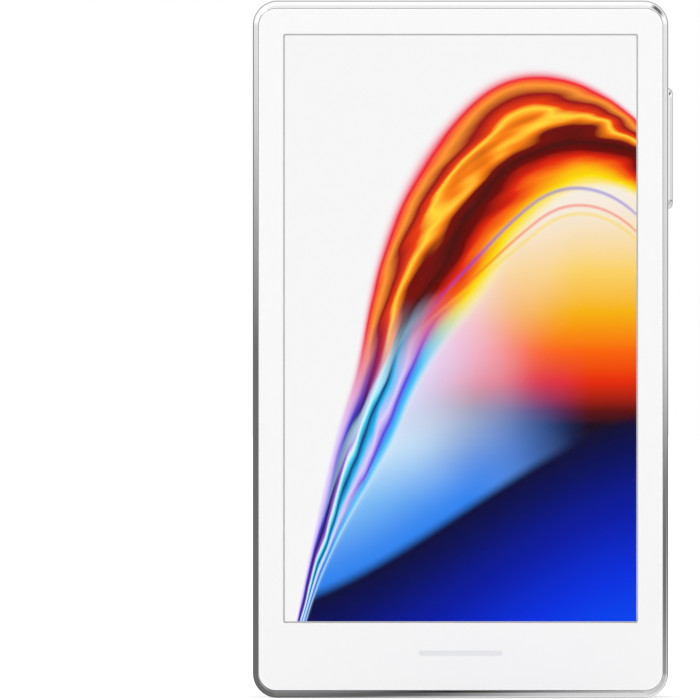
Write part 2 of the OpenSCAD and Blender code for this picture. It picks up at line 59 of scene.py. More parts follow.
body_low, body_high = cad("side_frame")
body_mid = (body_low + body_high) / 2
front_round = 1.1
camera_distance = 1000
field_width = 90.35
body_to_the_right = 14.27
body_upwards = 0.09
upright = (math.radians(90), 0, 0)
camera_data = bpy.data.cameras.new("camera")
camera_data.sensor_width = 36
camera_data.lens = camera_data.sensor_width * camera_distance / field_width
camera = bpy.data.objects.new("camera", camera_data)
camera.location = MM * Vector((
    body_mid.x - body_to_the_right,
    body_low.y + front_round - camera_distance,
    body_mid.z - body_upwards,
))
camera.rotation_euler = upright
bpy.context.scene.collection.objects.link(camera)
bpy.context.scene.camera = camera


# Studio: a white room and a white floor, with one soft light at the upper left. A tube of painted
# card round the object, seen only in reflections, draws the light and dark lines on the metal.
class Wire:
    """A socket in a material's nodes. Sums on it add Math nodes, and node() adds any other node."""

    def __init__(self, tree, socket=None):
        self.tree = tree
        self.socket = socket

    def node(self, kind, settings=None, sockets=None, output=0):
        """A new node of a kind, with its settings and the values or links of its sockets."""
        made = self.tree.nodes.new(kind)
        for name, value in (settings or {}).items():
            if name == "stops":
                set_stops(made.color_ramp.elements, value)
            else:
                setattr(made, name, value)
        for key, value in (sockets or {}).items():
            if isinstance(value, Wire):
                self.tree.links.new(value.socket, made.inputs[key])
            else:
                made.inputs[key].default_value = value
        return Wire(self.tree, made.outputs[output])

    def out(self, name):
        """Another output of the same node."""
        return Wire(self.tree, self.socket.node.outputs[name])

    def math(self, operation, *values):
        """A Math node on numbers or wires."""
        return self.node("ShaderNodeMath", {"operation": operation}, dict(enumerate(values)))

    def above(self, other):
        """The larger of the two."""
        return self.math("MAXIMUM", self, other)

    def step(self, low, high):
        """0 below low, 1 above high, and a smooth rise between them."""
        return self.node("ShaderNodeMapRange", {"interpolation_type": "SMOOTHSTEP"},
                         {"Value": self, "From Min": low, "From Max": high})

    def __add__(self, other):
        return self.math("ADD", self, other)

    def __sub__(self, other):
        return self.math("SUBTRACT", self, other)

    def __rsub__(self, other):
        return self.math("SUBTRACT", other, self)

    def __mul__(self, other):
        return self.math("MULTIPLY", self, other)

    def __truediv__(self, other):
        return self.math("DIVIDE", self, other)

    def __abs__(self):
        return self.math("ABSOLUTE", self)

    __radd__ = __add__
    __rmul__ = __mul__


def set_stops(elements, stops):
    """Gives a colour ramp its stops, each a place and a colour."""
    while len(elements) > 1:
        elements.remove(elements[-1])
    elements[0].position, elements[0].color = stops[0]
    for place, colour in stops[1:]:
        elements.new(place).color = colour


def tint(red, green, blue):
    """A colour, from its values on a screen, 0 to 255."""
    shares = [value / 255 for value in (red, green, blue)]
    return (*(((share + 0.055) / 1.055) ** 2.4 if share > 0.04 else share / 12.92 for share in shares), 1)


def grey(level):
    """A colour without hue, from its share of white light."""
    return level, level, level, 1


def new_material(name):
    """A new material, and the place in millimetres of the point on its piece that it colours."""
    made = bpy.data.materials.new(name)
    made.use_nodes = True
    start = Wire(made.node_tree)
    point = start.node("ShaderNodeTexCoord", output="Object")
    place = start.node("ShaderNodeVectorMath", {"operation": "SCALE"}, {0: point, "Scale": 1 / MM})
    return made, place


def parts(place):
    """The x, y and z of a place."""
    split = place.node("ShaderNodeSeparateXYZ", {}, {0: place})
    return split.out("X"), split.out("Y"), split.out("Z")


def dress(made, sockets):
    """Sets or links the sockets of a material's shader."""
    shader = made.node_tree.nodes["Principled BSDF"]
    for name, value in sockets.items():
        if isinstance(value, Wire):
            made.node_tree.links.new(value.socket, shader.inputs[name])
        else:
            shader.inputs[name].default_value = value


def mixed(share, first, second):
    """The first colour where share is 0, and the second where it is 1."""
    return share.node("ShaderNodeMix", {"data_type": "RGBA"}, {0: share, 6: first, 7: second}, 2)


def ramp(share, *stops):
    """Colours along a share that goes from 0 to 1. Each stop is a place and a colour."""
    return share.node("ShaderNodeValToRGB", {"stops": stops}, {0: share})


def grain(place, size, detail=2):
    """Soft random pattern from 0 to 1, with spots of about one size in millimetres."""
    return place.node("ShaderNodeTexNoise", {}, {"Vector": place, "Scale": 1 / size, "Detail": detail})


scene = bpy.context.scene
scene.view_settings.view_transform = "Standard"
scene.world = bpy.data.worlds.new("studio")
scene.world.use_nodes = True
room = scene.world.node_tree.nodes["Background"]
room.inputs["Color"].default_value = grey(1)
room.inputs["Strength"].default_value = 1

floor_size = 6
floor_gap = 0.00002
floor_paint, place = new_material("floor_paint")
speckle = grain(place, 2.5, 3)
dress(floor_paint, {
    "Base Color": mixed(speckle, grey(0.9), grey(0.94)),
    "Roughness": 0.6,
    "Specular IOR Level": 0,
    "Emission Color": grey(1),
    "Emission Strength": 0.26,
})
bpy.ops.mesh.primitive_plane_add(size=floor_size, location=(0, 0, body_low.z * MM - floor_gap))
floor = bpy.context.object
floor.name = "floor"
floor.data.materials.append(floor_paint)
floor.visible_glossy = False
floor.visible_transmission = False

key_data = bpy.data.lights.new("key_light", "AREA")
key_data.size = 0.7
key_data.energy = 2
key = bpy.data.objects.new("key_light", key_data)
key.location = (-0.7, -0.9, 0.9)
key.rotation_euler = (MM * body_mid - key.location).to_track_quat("-Z", "Y").to_euler()
key.visible_camera = False
scene.collection.objects.link(key)


def hang(name, paint):
    """Makes the new sheet a card of the studio, which shows in reflections and nowhere else."""
    card = bpy.context.object
    card.name = name
    bpy.ops.object.transform_apply()
    card.data.materials.append(paint)
    for ray in ("camera", "diffuse", "volume_scatter", "shadow"):
        setattr(card, "visible_" + ray, False)


def glow_of(paint, brightness):
    """Makes a paint shine by itself, with no gloss of its own."""
    dress(paint, {
        "Base Color": grey(0),
        "Specular IOR Level": 0,
        "Emission Color": brightness,
        "Emission Strength": 1.1,
    })


tube_radius = 0.5
tube_front = -0.56
tube_rear = 0.8
tube_corners = 96
tube_paint, place = new_material("tube_paint")
x, y, z = parts(place)
round_about = (place.math("ARCTAN2", z - body_mid.z, x) / math.pi + 1) / 2


def levels(*stops):
    """Brightness round the tube: from the left, under the object, to the right and over its top."""
    return ramp(round_about, *((at, grey(level)) for at, level in stops))


# From its mouth to its end, the tube is painted in four bands.
rim = levels((0, 0.6), (0.15, 0.6), (0.19, 0.25), (0.241, 0.24), (0.247, 0.16), (0.2505, 0.005),
             (0.2535, 0.005), (0.258, 0.2), (0.265, 0.46), (0.28, 0.6), (1, 0.6))
near = levels((0, 0.14), (0.2, 0.14), (0.236, 0.2), (0.241, 0.2), (0.247, 0.08), (0.2515, 0.12),
              (0.258, 0.6), (0.265, 0.75), (0.3, 0.6), (0.46, 0.5), (0.48, 0.3), (0.486, 0.1),
              (0.492, 0.2), (0.5, 0.6), (0.54, 1), (0.57, 1), (0.61, 0.2), (0.66, 0.12), (0.69, 1),
              (0.96, 1), (0.982, 0.75), (0.992, 0.37), (1, 0.14))
far = levels((0, 0.16), (0.2, 0.14), (0.24, 0.09), (0.247, 0.12), (0.251, 0.5), (0.256, 0.75),
             (0.3, 0.9), (0.46, 0.8), (0.48, 0.7), (0.486, 0.5), (0.491, 0.12), (0.5, 0.7), (0.54, 1),
             (0.96, 1), (0.982, 0.8), (0.992, 0.4), (1, 0.16))
end = levels((0, 0.1), (0.2, 0.08), (0.243, 0.2), (0.252, 0.55), (0.3, 0.7), (0.46, 0.4),
             (0.486, 0.04), (0.5, 0.25), (0.54, 0.3), (0.7, 0.4), (0.96, 0.4), (1, 0.1))
depth = y * MM
to_near = depth.step(-0.5, -0.42)
to_far = depth.step(-0.05, 0.2)
to_end = depth.step(0.2, 0.36)
glow_of(tube_paint, mixed(to_near, rim, mixed(to_end, mixed(to_far, near, far), end)))
bpy.ops.mesh.primitive_cylinder_add(
    vertices=tube_corners, radius=tube_radius, depth=tube_rear - tube_front, end_fill_type="NOTHING",
    location=(0, (tube_front + tube_rear) / 2, body_mid.z * MM), rotation=upright)
hang("studio_tube", tube_paint)

back_paint, place = new_material("tube_back_paint")
x, y, z = parts(place)
glow_of(back_paint, mixed((x * MM).step(-0.3, 0.1), grey(0.05), grey(0.28)))
bpy.ops.mesh.primitive_circle_add(
    vertices=tube_corners, radius=tube_radius, fill_type="NGON",
    location=(0, tube_rear, body_mid.z * MM), rotation=upright)
hang("studio_tube_back", back_paint)

# A dark card hangs low in front. It draws the dark line along the lower edge of the metal.
low_card_size = 2
low_card_top = -0.21
low_card_front = -1.39
low_card_paint, place = new_material("low_card_paint")
x, y, z = parts(place)
glow_of(low_card_paint, ramp(
    x * MM + 0.5, (0.4, grey(0.2)), (0.464, grey(0.24)), (0.486, grey(0.18)), (0.512, grey(0.005)),
    (0.528, grey(0.005)), (0.55, grey(0.18)), (0.576, grey(0.48)), (0.6, grey(0.6))))
bpy.ops.mesh.primitive_plane_add(
    size=low_card_size, location=(0, low_card_front, low_card_top - low_card_size / 2), rotation=upright)
hang("studio_low_card", low_card_paint)

# A black card behind the camera keeps the flat glass clear of reflections. It ends where the side
# button would start to mirror it, so that the button stays bright.
black_card_size = 0.7
black_card_right = 0.0833
black_card_front = -1.4
black_card_height = 0.04
black_paint, place = new_material("black_paint")
glow_of(black_paint, grey(0))
bpy.ops.mesh.primitive_plane_add(
    size=black_card_size, rotation=upright,
    location=(black_card_right - black_card_size / 2, black_card_front, black_card_height))
hang("studio_black_card", black_paint)


# Side frame: one ring of stainless steel, milled from a block and polished to a mirror. Both glasses
# lie on ledges inside it, and small threaded tabs carry the mid plate.
corner_radius = 3.2
rear_round = 1.4
opening_corner = 2.3
cavity_corner = 1.3
wall_side = 1.9
wall_end = 2.2
glass_gap = 0.05
slot_gap = 0.08
port_gap = 0.15
TINY = 0.001
X, Y, Z = range(3)

# A corner of this share of half a width is fully round, and stops short of where its arcs meet.
FULLY = 0.998


def take(piece):
    """Selects one piece, and nothing else."""
    bpy.ops.object.select_all(action="DESELECT")
    piece.select_set(True)
    bpy.context.view_layer.objects.active = piece


def edit(piece):
    """Opens a piece for editing its mesh."""
    take(piece)
    bpy.ops.object.mode_set(mode="EDIT")


def pick(piece, wanted):
    """In edit mode, selects the edges that pass the test, and nothing else."""
    bpy.ops.mesh.select_mode(type="EDGE")
    bpy.ops.mesh.select_all(action="DESELECT")
    mesh = bmesh.from_edit_mesh(piece.data)
    for edge in mesh.edges:
        if wanted(edge):
            edge.select_set(True)
    bmesh.update_edit_mesh(piece.data)


def rounded_block(name, low, high, corner, steps, axis=Y):
    """Block between two corners, with its four edges along one axis rounded."""
    low, high = Vector(low), Vector(high)
    bpy.ops.mesh.primitive_cube_add(size=1, location=(low + high) / 2)
    block = bpy.context.object
    block.name = name
    block.scale = high - low
    bpy.ops.object.transform_apply()
    edit(block)
    pick(block, lambda edge: abs((edge.verts[0].co - edge.verts[1].co)[axis]) > TINY)
    bpy.ops.mesh.bevel(offset=corner, segments=steps, affect="EDGES")
    bpy.ops.object.mode_set(mode="OBJECT")
    return block


def soften(block, axis, level, radius, steps):
    """Rounds the edge that runs round a block at one level of an axis."""
    edit(block)
    pick(block, lambda edge: all(abs(vert.co[axis] - level) < TINY for vert in edge.verts))
    bpy.ops.mesh.bevel(offset=radius, segments=steps, affect="EDGES")
    bpy.ops.object.mode_set(mode="OBJECT")


def turned(name, centre, profile, steps=72):
    """Round piece about a line along Y, from its section: a list of radius and depth."""
    (radius, depth), *rest = profile
    bpy.ops.mesh.primitive_circle_add(
        vertices=steps, radius=radius, location=(centre.x, depth, centre.z), rotation=upright)
    piece = bpy.context.object
    piece.name = name
    bpy.ops.object.transform_apply()
    edit(piece)
    bpy.ops.mesh.select_mode(type="EDGE")
    bpy.ops.mesh.select_all(action="SELECT")
    closed = profile[0] == profile[-1]
    if not closed:
        bpy.ops.mesh.edge_face_add()
        pick(piece, lambda edge: True)
    for new_radius, new_depth in rest:
        bpy.ops.mesh.extrude_edges_move()
        bpy.ops.transform.resize(value=(new_radius / radius, 1, new_radius / radius),
                                 center_override=(centre.x, depth, centre.z))
        bpy.ops.transform.translate(value=(0, new_depth - depth, 0))
        radius, depth = new_radius, new_depth
    if not closed:
        bpy.ops.mesh.edge_face_add()
    bpy.ops.mesh.select_all(action="SELECT")
    bpy.ops.mesh.remove_doubles(threshold=TINY)
    bpy.ops.mesh.normals_make_consistent(inside=False)
    bpy.ops.object.mode_set(mode="OBJECT")
    return piece


def combine(piece, other, operation):
    """Cuts the other block away from a piece, or joins it on."""
    change = piece.modifiers.new("change", "BOOLEAN")
    change.operation = operation
    change.solver = "EXACT"
    change.object = other
    take(piece)
    bpy.ops.object.modifier_apply(modifier=change.name)
    bpy.data.objects.remove(other)


def copy_of(piece, offset):
    """A copy of a piece, with its own mesh, moved by an offset."""
    take(piece)
    bpy.ops.object.duplicate()
    bpy.context.object.location = offset
    bpy.ops.object.transform_apply()
    return bpy.context.object


def settle(piece, finish):
    """Brings a finished piece to metres, smooths its round faces and gives it its material."""
    take(piece)
    piece.scale = (MM, MM, MM)
    bpy.ops.object.transform_apply()
    bpy.ops.object.shade_smooth_by_angle(angle=math.radians(35))
    even = piece.modifiers.new("even", "WEIGHTED_NORMAL")
    even.keep_sharp = True
    bpy.ops.object.modifier_apply(modifier=even.name)
    piece.data.materials.clear()
    piece.data.materials.append(finish)


polished, place = new_material("polished_steel")
haze = grain(place, 1 / 0.35, 4)
streaks = place.node("ShaderNodeMapping", {}, {"Vector": place, "Scale": (14, 14, 0.6)})
lines = grain(streaks, 1)
dress(polished, {
    "Base Color": mixed(haze, grey(0.88), grey(0.92)),
    "Metallic": 1,
    "Roughness": 0.035 + 0.03 * haze + 0.02 * lines,
})

frame_ring = rounded_block("side_frame_polished", body_low, body_high, corner_radius, steps=24)
soften(frame_ring, Y, body_low.y, front_round, steps=16)
soften(frame_ring, Y, body_high.y, rear_round, steps=16)

# The block is opened for both glasses, for what lies inside, for the button and for the port.
front_low, front_high = cad("front_glass")
rear_low, rear_high = cad("back_glass")
front_ledge = cad("front_gasket")[1].y
rear_ledge = cad("back_gasket")[0].y
past = 3
round_glass = Vector((glass_gap, past, glass_gap))
front_opening = rounded_block(
    "front_opening", front_low - round_glass,
    (front_high.x + glass_gap, front_ledge, front_high.z + glass_gap), opening_corner, steps=20)
rear_opening = rounded_block(
    "rear_opening", (rear_low.x - glass_gap, rear_ledge, rear_low.z - glass_gap),
    rear_high + round_glass, opening_corner, steps=20)
inner = Vector((wall_side, -past, wall_end))
cavity = rounded_block("cavity", body_low + inner, body_high - inner, cavity_corner, steps=10)
button_low, button_high = cad("power_button")
button_mid_z = (button_low.z + button_high.z) / 2
button_half_length = 7.8
button_half_width = 1.2
slot_half_width = button_half_width + slot_gap
slot_half_length = button_half_length + slot_gap
button_slot = rounded_block(
    "button_slot", (body_high.x - past, -slot_half_width, button_mid_z - slot_half_length),
    (body_high.x + past, slot_half_width, button_mid_z + slot_half_length),
    FULLY * slot_half_width, steps=12, axis=X)
port_low, port_high = cad("usb_shell")
port_room = Vector((port_gap, port_gap, past))
port_hole = rounded_block("port_hole", port_low - port_room, port_high + port_room,
                          FULLY * (port_high.y + port_gap), steps=16, axis=Z)
for cutter in (front_opening, rear_opening, cavity, button_slot, port_hole):
    combine(frame_ring, cutter, "DIFFERENCE")

# Seven tabs stand on the inner wall, each with a bore for a screw of the mid plate.
tab_thickness = 0.8
tab_half = 1.5
tab_root = 1.2
tab_hole = 0.63
wall_x = body_high.x - wall_side
tab_high = cad("mid_plate")[0].y
tab_low = tab_high - tab_thickness
tab_half_length = tab_half + tab_root / 2
tab_mid_x = wall_x + tab_root / 2 - tab_half
tab = rounded_block("tab", (-tab_half_length, tab_low, -tab_half), (tab_half_length, tab_high, tab_half),
                    0.97 * tab_half, steps=10)
bore = turned("tab_bore", Vector(), [(tab_hole, tab_low - 1), (tab_hole, tab_high + 1)], steps=24)
for side, height in ((-1, 6), (1, 6), (-1, 34), (1, 34), (-1, 59), (1, 58), (-1, 84)):
    combine(frame_ring, copy_of(tab, (side * tab_mid_x, 0, height)), "UNION")
    combine(frame_ring, copy_of(bore, (side * (wall_x - tab_half), 0, height)), "DIFFERENCE")
for pattern in (tab, bore):
    bpy.data.objects.remove(pattern)
settle(frame_ring, polished)
frame_ring.visible_shadow = False
frame_ring.visible_diffuse = False
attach(frame_ring, "housing")
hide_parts("side_frame")


# Front glass: one sheet of clear glass over the whole front, its outer edge ground round and
# polished. It is stuck down on the frame's ledge with thin tape.
glass_corner = 2.25
front_edge_round = 0.28
arris = 0.06
clear_glass, place = new_material("clear_glass")
dress(clear_glass, {
    "Base Color": grey(1),
    "Roughness": 0,
    "IOR": 1.45,
    "Transmission Weight": 1,
})
front_glass = rounded_block("front_glass_polished", front_low, front_high, glass_corner, steps=20)
soften(front_glass, Y, front_low.y, front_edge_round, steps=6)
soften(front_glass, Y, front_high.y, arris, steps=1)
settle(front_glass, clear_glass)
for sheet in (front_glass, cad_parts["touch_sensor"]):
    sheet.visible_shadow = False
    sheet.visible_diffuse = False
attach(front_glass, "housing")
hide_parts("front_glass")


# Touch sensor: a thin clear glass with see-through conductors, laminated between the front glass
# and the display.
def wear(finish, *nodes):
    """Gives CAD nodes a material."""
    for node in nodes:
        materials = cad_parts[node].data.materials
        materials.clear()
        materials.append(finish)


wear(clear_glass, "touch_sensor")


# White print: ink screened on the inner face of the front glass, with a window for the picture and
# a faint grey bar below it.
mark_half_length = 5.4
mark_radius = 0.34
mark_z = body_low.z + 5.8
mark_soft = 0.04


def distance(across, up):
    """How far a point is from the place where both of its parts are 0."""
    return across.math("SQRT", across * across + up * up)


white_ink, place = new_material("white_ink")
x, y, z = parts(place)
past_bar = (abs(x) - (mark_half_length - mark_radius)).above(0)
outside_mark = distance(past_bar, z - mark_z).step(mark_radius - mark_soft, mark_radius + mark_soft)
ink = mixed(grain(place, 1 / 6, 3), grey(0.838), grey(0.854))
dress(white_ink, {
    "Base Color": mixed(outside_mark, tint(222, 223, 225), ink),
    "Roughness": 0.45,
})
wear(white_ink, "front_print")


# Display: a colour liquid crystal cell. Its picture is a plain sweep of coloured light on white,
# shown by the lit face; a dull grey border of bare glass lies round the picture.
picture_width = 45.36
picture_height = 75.6
cell_low = cad("lcd_cell")[0]
picture_left = -picture_width / 2
picture_bottom = cell_low.z + 3.7
display, place = new_material("display_picture")
x, y, z = parts(place)
u = (x - picture_left) / picture_width
v = (z - picture_bottom) / picture_height
paper = tint(246, 246, 246)

# The sweep bends round a centre low at the right. turn is the angle about it, from the lower left
# corner to the upper right edge, and across runs over the sweep, from its inner to its outer side.
arc_u = 1.02
arc_v = 0.2
slim = 0.7
over = (u - arc_u) * slim
up = v - arc_v
radius = distance(over, up)
turn = place.math("ARCTAN2", up, over * -1).above(-0.3)
middle = (((turn * -0.11 + 0.07) * turn + 0.349) * turn - 0.269) * turn + 0.607
middle = middle - 0.018 * turn.step(0.5, 0.95) - 0.055 * turn.step(1.15, 1.7)
half_width = 0.01 + 0.05 * turn.step(-0.36, 0.3) + 0.068 * turn.step(0.3, 0.95)
half_width = half_width - 0.068 * turn.step(1.1, 1.7)
across = (radius - middle) / half_width
strand = place.node("ShaderNodeCombineXYZ", {}, {0: turn * 1.9, 1: radius * 13})
fold_sockets = {"Vector": strand, "Scale": 1.5, "Detail": 2, "Roughness": 0.4}
fold = place.node("ShaderNodeTexNoise", {}, fold_sockets)
side = (across + 1) / 2 + (fold - 0.5) * 0.6 * (1 - abs(across)).above(0)

upper_band = ramp(
    side, (0, tint(250, 236, 180)), (0.1, tint(251, 223, 4)), (0.2, tint(250, 110, 10)),
    (0.26, tint(226, 36, 6)), (0.34, tint(110, 4, 2)), (0.46, tint(72, 14, 8)),
    (0.56, tint(120, 12, 8)), (0.62, tint(252, 130, 16)), (0.66, tint(255, 214, 60)),
    (0.7, tint(240, 60, 10)), (0.78, tint(150, 14, 20)), (0.86, tint(255, 150, 50)),
    (0.93, tint(240, 14, 50)), (1, tint(246, 200, 214)))
lower_band = ramp(
    side, (0, tint(206, 232, 246)), (0.1, tint(62, 196, 250)), (0.2, tint(86, 60, 226)),
    (0.3, tint(226, 206, 252)), (0.38, tint(40, 190, 246)), (0.46, tint(16, 30, 120)),
    (0.54, tint(70, 220, 252)), (0.6, tint(236, 250, 255)), (0.66, tint(150, 90, 220)),
    (0.74, tint(14, 20, 70)), (0.82, tint(70, 60, 210)), (0.9, tint(220, 190, 250)),
    (1, tint(240, 240, 250)))
to_upper = (turn + 0.35 * side).step(0.5, 0.85)
band = mixed(to_upper, lower_band, upper_band)

# Under the sweep, blue hills fill the lower right corner. The sky over them glows azure at the left,
# and red and amber at the right.
hill = 0.015 + 0.34 * u.step(-0.15, 1.15)
over_hill = v - hill
hills = ramp(
    over_hill + 0.35, (0, tint(2, 70, 240)), (0.09, tint(2, 46, 222)), (0.19, tint(3, 26, 168)),
    (0.29, tint(5, 14, 96)), (0.34, tint(10, 10, 60)))
warm = ramp(
    v, (0.26, tint(12, 14, 70)), (0.335, tint(24, 10, 27)), (0.36, tint(96, 14, 14)),
    (0.41, tint(230, 42, 2)), (0.46, tint(250, 98, 1)), (0.53, tint(247, 178, 12)),
    (0.6, tint(250, 210, 104)), (0.7, tint(246, 232, 214)), (0.8, tint(246, 244, 242)))
pale = ramp(
    v, (0, tint(146, 205, 242)), (0.2, tint(150, 212, 248)), (0.3, tint(200, 226, 248)),
    (0.4, tint(220, 214, 246)), (0.5, tint(240, 206, 240)), (0.6, tint(246, 226, 236)),
    (0.72, tint(246, 240, 232)))
to_warm = (u + 0.5 * (grain(place, 1 / 0.06, 1) - 0.5)).step(0.34, 0.86)
sky = mixed(to_warm, pale, warm)
azure = (1 - over_hill.step(0, 0.2)) * (1 - u.step(0.5, 0.88))
sky = mixed(azure * 0.92, sky, tint(16, 120, 238))
under = mixed(over_hill.step(-0.012, 0.016), hills, sky)
outside = across.step(-1.4, 0.4)
ground = mixed(outside, under, paper)
lit = mixed(1 - abs(across).step(0.86, 1.08), ground, band)

# A gloss runs along the narrow part of the sweep, as on rolled glass, and fine lines run along the
# inner side of the wide part.
wave = place.math("SINE", turn * 7 + side * 9)
gloss = wave.step(0.55, 1) * (1 - abs(across).step(0.3, 0.9)) * (1 - to_upper)
lit = mixed(gloss * 0.6, lit, tint(200, 242, 255))
# Each fine line has its way from the middle of the sweep, its width and its colour.
fine_lines = (
    (-0.1, 0.006, tint(90, 60, 220)),
    (-0.13, 0.005, tint(246, 60, 30)),
    (-0.145, 0.006, tint(250, 220, 40)),
)
for offset, width, colour in fine_lines:
    near_line = abs(radius - middle - offset * turn.step(0.3, 1.2)) / width
    line = (1 - near_line.step(0, 1)) * turn.step(0.5, 1) * (1 - turn.step(1.5, 1.7))
    lit = mixed(line * 0.55, lit, colour)

from_middle = abs(z - (picture_bottom + picture_height / 2))
inside = (picture_width / 2 - abs(x)).step(-0.01, 0.01)
inside = inside * (picture_height / 2 - from_middle).step(-0.01, 0.01)
front_face = 1 - y.step(cell_low.y + 0.01, cell_low.y + 0.03)
dress(display, {
    "Base Color": mixed(inside, grey(0.6), grey(0.004)),
    "Roughness": 0.25,
    "Emission Color": mixed(inside * front_face, grey(0), lit),
    "Emission Strength": 1.06,
})
wear(display, "lcd_cell")


# Rear glass: white glass with a ground and polished outer edge, bored for the camera's ring and the
# light. A small grid of dots is printed faintly under it.
rear_edge_round = 0.24
dot_pitch = 3
dot_radius = 0.55
dot_soft = 0.05
dots_across = 3
dots_up = 5
dots_z = body_mid.z + 3.4


def repeated(along, pitch):
    """The way from the nearest of the places that follow each other at one pitch."""
    return along.math("WRAP", along, pitch / 2, -pitch / 2)


rear_white, place = new_material("white_glass")
x, y, z = parts(place)
to_dot = distance(repeated(x, dot_pitch), repeated(z - dots_z, dot_pitch))
in_grid = (dots_across * dot_pitch / 2 - abs(x)).step(0, 0.01)
in_grid = in_grid * (dots_up * dot_pitch / 2 - abs(z - dots_z)).step(0, 0.01)
dots = (1 - to_dot.step(dot_radius - dot_soft, dot_radius + dot_soft)) * in_grid
milk = mixed(grain(place, 20), grey(0.83), grey(0.88))
dress(rear_white, {
    "Base Color": mixed(dots * 0.7, milk, grey(0.9)),
    "Roughness": 0.04 + 0.05 * dots,
    "Coat Weight": 0.5,
    "Coat Roughness": 0.02,
})
rear_glass = rounded_block("rear_glass_polished", rear_low, rear_high, glass_corner, steps=20)
soften(rear_glass, Y, rear_high.y, rear_edge_round, steps=6)
soften(rear_glass, Y, rear_low.y, arris, steps=1)


def middle_of(node):
    """The middle of a CAD node's box."""
    low, high = cad(node)
    return (low + high) / 2


def arc(radius, depth, size, first, last, steps):
    """Points of a rounding in a section, about its own centre, from one angle to another."""
    angles = [math.radians(first + (last - first) * i / steps) for i in range(steps + 1)]
    return [(radius + size * math.cos(a), depth + size * math.sin(a)) for a in angles]


ring_mid = middle_of("camera_ring")
light_mid = middle_of("flash_lens")
bore_gap = 0.02
ring_radius = 3.1
light_radius = 1.2
for centre, bore_radius in ((ring_mid, ring_radius + bore_gap), (light_mid, light_radius + bore_gap)):
    bore = turned("bore", centre, [(bore_radius, rear_low.y - 1), (bore_radius, rear_high.y + 1)])
    combine(rear_glass, bore, "DIFFERENCE")
settle(rear_glass, rear_white)
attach(rear_glass, "housing")
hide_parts("back_glass")


# Camera ring: a moulded ring of pale gloss plastic, pushed into the rear glass from inside, with a
# rounded lip and a seat for the cover.
ring_low, ring_high = cad("camera_ring")
cover_low, cover_high = cad("camera_cover")
cover_radius = (cover_high.x - cover_low.x) / 2
seat_radius = cover_radius + 0.03
ring_bore = 2
flange_radius = (ring_high.x - ring_low.x) / 2
flange_gap = 0.02
flange_top = rear_low.y - flange_gap
lip = 0.14
pale_gloss, place = new_material("pale_gloss_plastic")
flow = grain(place, 2 / 3, 3)
dress(pale_gloss, {
    "Base Color": mixed(flow, grey(0.8), grey(0.88)),
    "Roughness": 0.1 + 0.08 * flow,
    "Coat Weight": 0.6,
    "Coat Roughness": 0.03,
})
lip_out = arc(ring_radius - lip, ring_high.y - lip, lip, 0, 90, 5)
lip_in = arc(seat_radius + lip, ring_high.y - lip, lip, 90, 180, 5)
camera_ring = turned("camera_ring_turned", ring_mid, [
    (flange_radius, ring_low.y), (flange_radius, flange_top), (ring_radius, flange_top),
    *lip_out, *lip_in,
    (seat_radius, cover_low.y), (ring_bore, cover_low.y), (ring_bore, ring_low.y),
    (flange_radius, ring_low.y),
])
settle(camera_ring, pale_gloss)
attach(camera_ring, "housing")
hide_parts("camera_ring")


# Camera cover: a disc of black-printed glass in the ring, left clear over the lens. Fine lighter rings
# round the clear middle are a painted reflection on the black print.
cover_glass, place = new_material("camera_cover_glass")
x, y, z = parts(place)
away = distance(x - ring_mid.x, z - ring_mid.z)
# The lighter rings are painted reflection, not print: a touch of grey in the black.
painted_ring_reflections = 0
for circle_radius, half_width in ((1.28, 0.05), (1.62, 0.03), (2.2, 0.06)):
    painted_ring_reflections = painted_ring_reflections + (1 - (abs(away - circle_radius) / half_width).step(0.5, 1.2))
dress(cover_glass, {
    "Base Color": mixed(painted_ring_reflections, grey(0.003), grey(0.02)),
    "Roughness": 0.02,
    "Specular IOR Level": 0.5,
})
clear_radius = 1.05
cover_edge = 0.08
camera_cover = turned("camera_cover_disc", ring_mid, [
    (clear_radius, cover_low.y), (cover_radius, cover_low.y),
    *arc(cover_radius - cover_edge, cover_high.y - cover_edge, cover_edge, 0, 90, 4),
    (clear_radius, cover_high.y), (clear_radius, cover_low.y),
])
settle(camera_cover, cover_glass)
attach(camera_cover, "housing")
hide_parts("camera_cover")


# Camera window: the clear middle of the cover, over the lens. It is the cover's own glass without
# the print, ground to a slight dome and coated against reflections.
window_rise = 0.06


def dome(radius, depth, rise, angles):
    """Points of a low dome in a section, from its rim to near its middle."""
    turns = [math.radians(angle) for angle in angles]
    return [(radius * math.cos(a), depth + rise * math.sin(a)) for a in turns]


coated_glass, place = new_material("coated_glass")
dress(coated_glass, {
    "Base Color": (0.8, 0.86, 1, 1),
    "Roughness": 0,
    "IOR": 1.5,
    "Transmission Weight": 1,
})
window = turned("camera_window", ring_mid, [
    (clear_radius - 0.002, cover_low.y),
    *dome(clear_radius, cover_high.y - window_rise, window_rise, range(0, 86, 17)),
])
settle(window, coated_glass)
window.visible_shadow = False
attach(window, "housing")


# Camera lens: the front element, a bulged disc of ground glass held in the barrel. Its coating looks
# purple from the front and green from the side.
lens_low, lens_high = cad("camera_lens")
lens_radius = (lens_high.x - lens_low.x) / 2
lens_coating, place = new_material("lens_coating")
facing = place.node("ShaderNodeLayerWeight", {}, {"Blend": 0.4}, "Facing")
dress(lens_coating, {
    "Base Color": mixed(facing, (0.012, 0.008, 0.04, 1), (0.02, 0.09, 0.06, 1)),
    "Roughness": 0.02,
    "Coat Weight": 1,
    "Coat Roughness": 0,
})
lens = turned("camera_lens_ground", ring_mid, [
    (lens_radius, lens_low.y),
    *dome(lens_radius, lens_low.y, lens_high.y - lens_low.y, range(10, 87, 19)),
])
settle(lens, lens_coating)
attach(lens, "housing")
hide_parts("camera_lens")


# Light window: a moulded clear plug in the rear glass, with the yellow light source close under it.
# Its inner face carries fine moulded rings that spread the light.
plug_low, plug_high = cad("flash_lens")
plug_flange = (plug_high.x - plug_low.x) / 2
plug_lip = 0.1


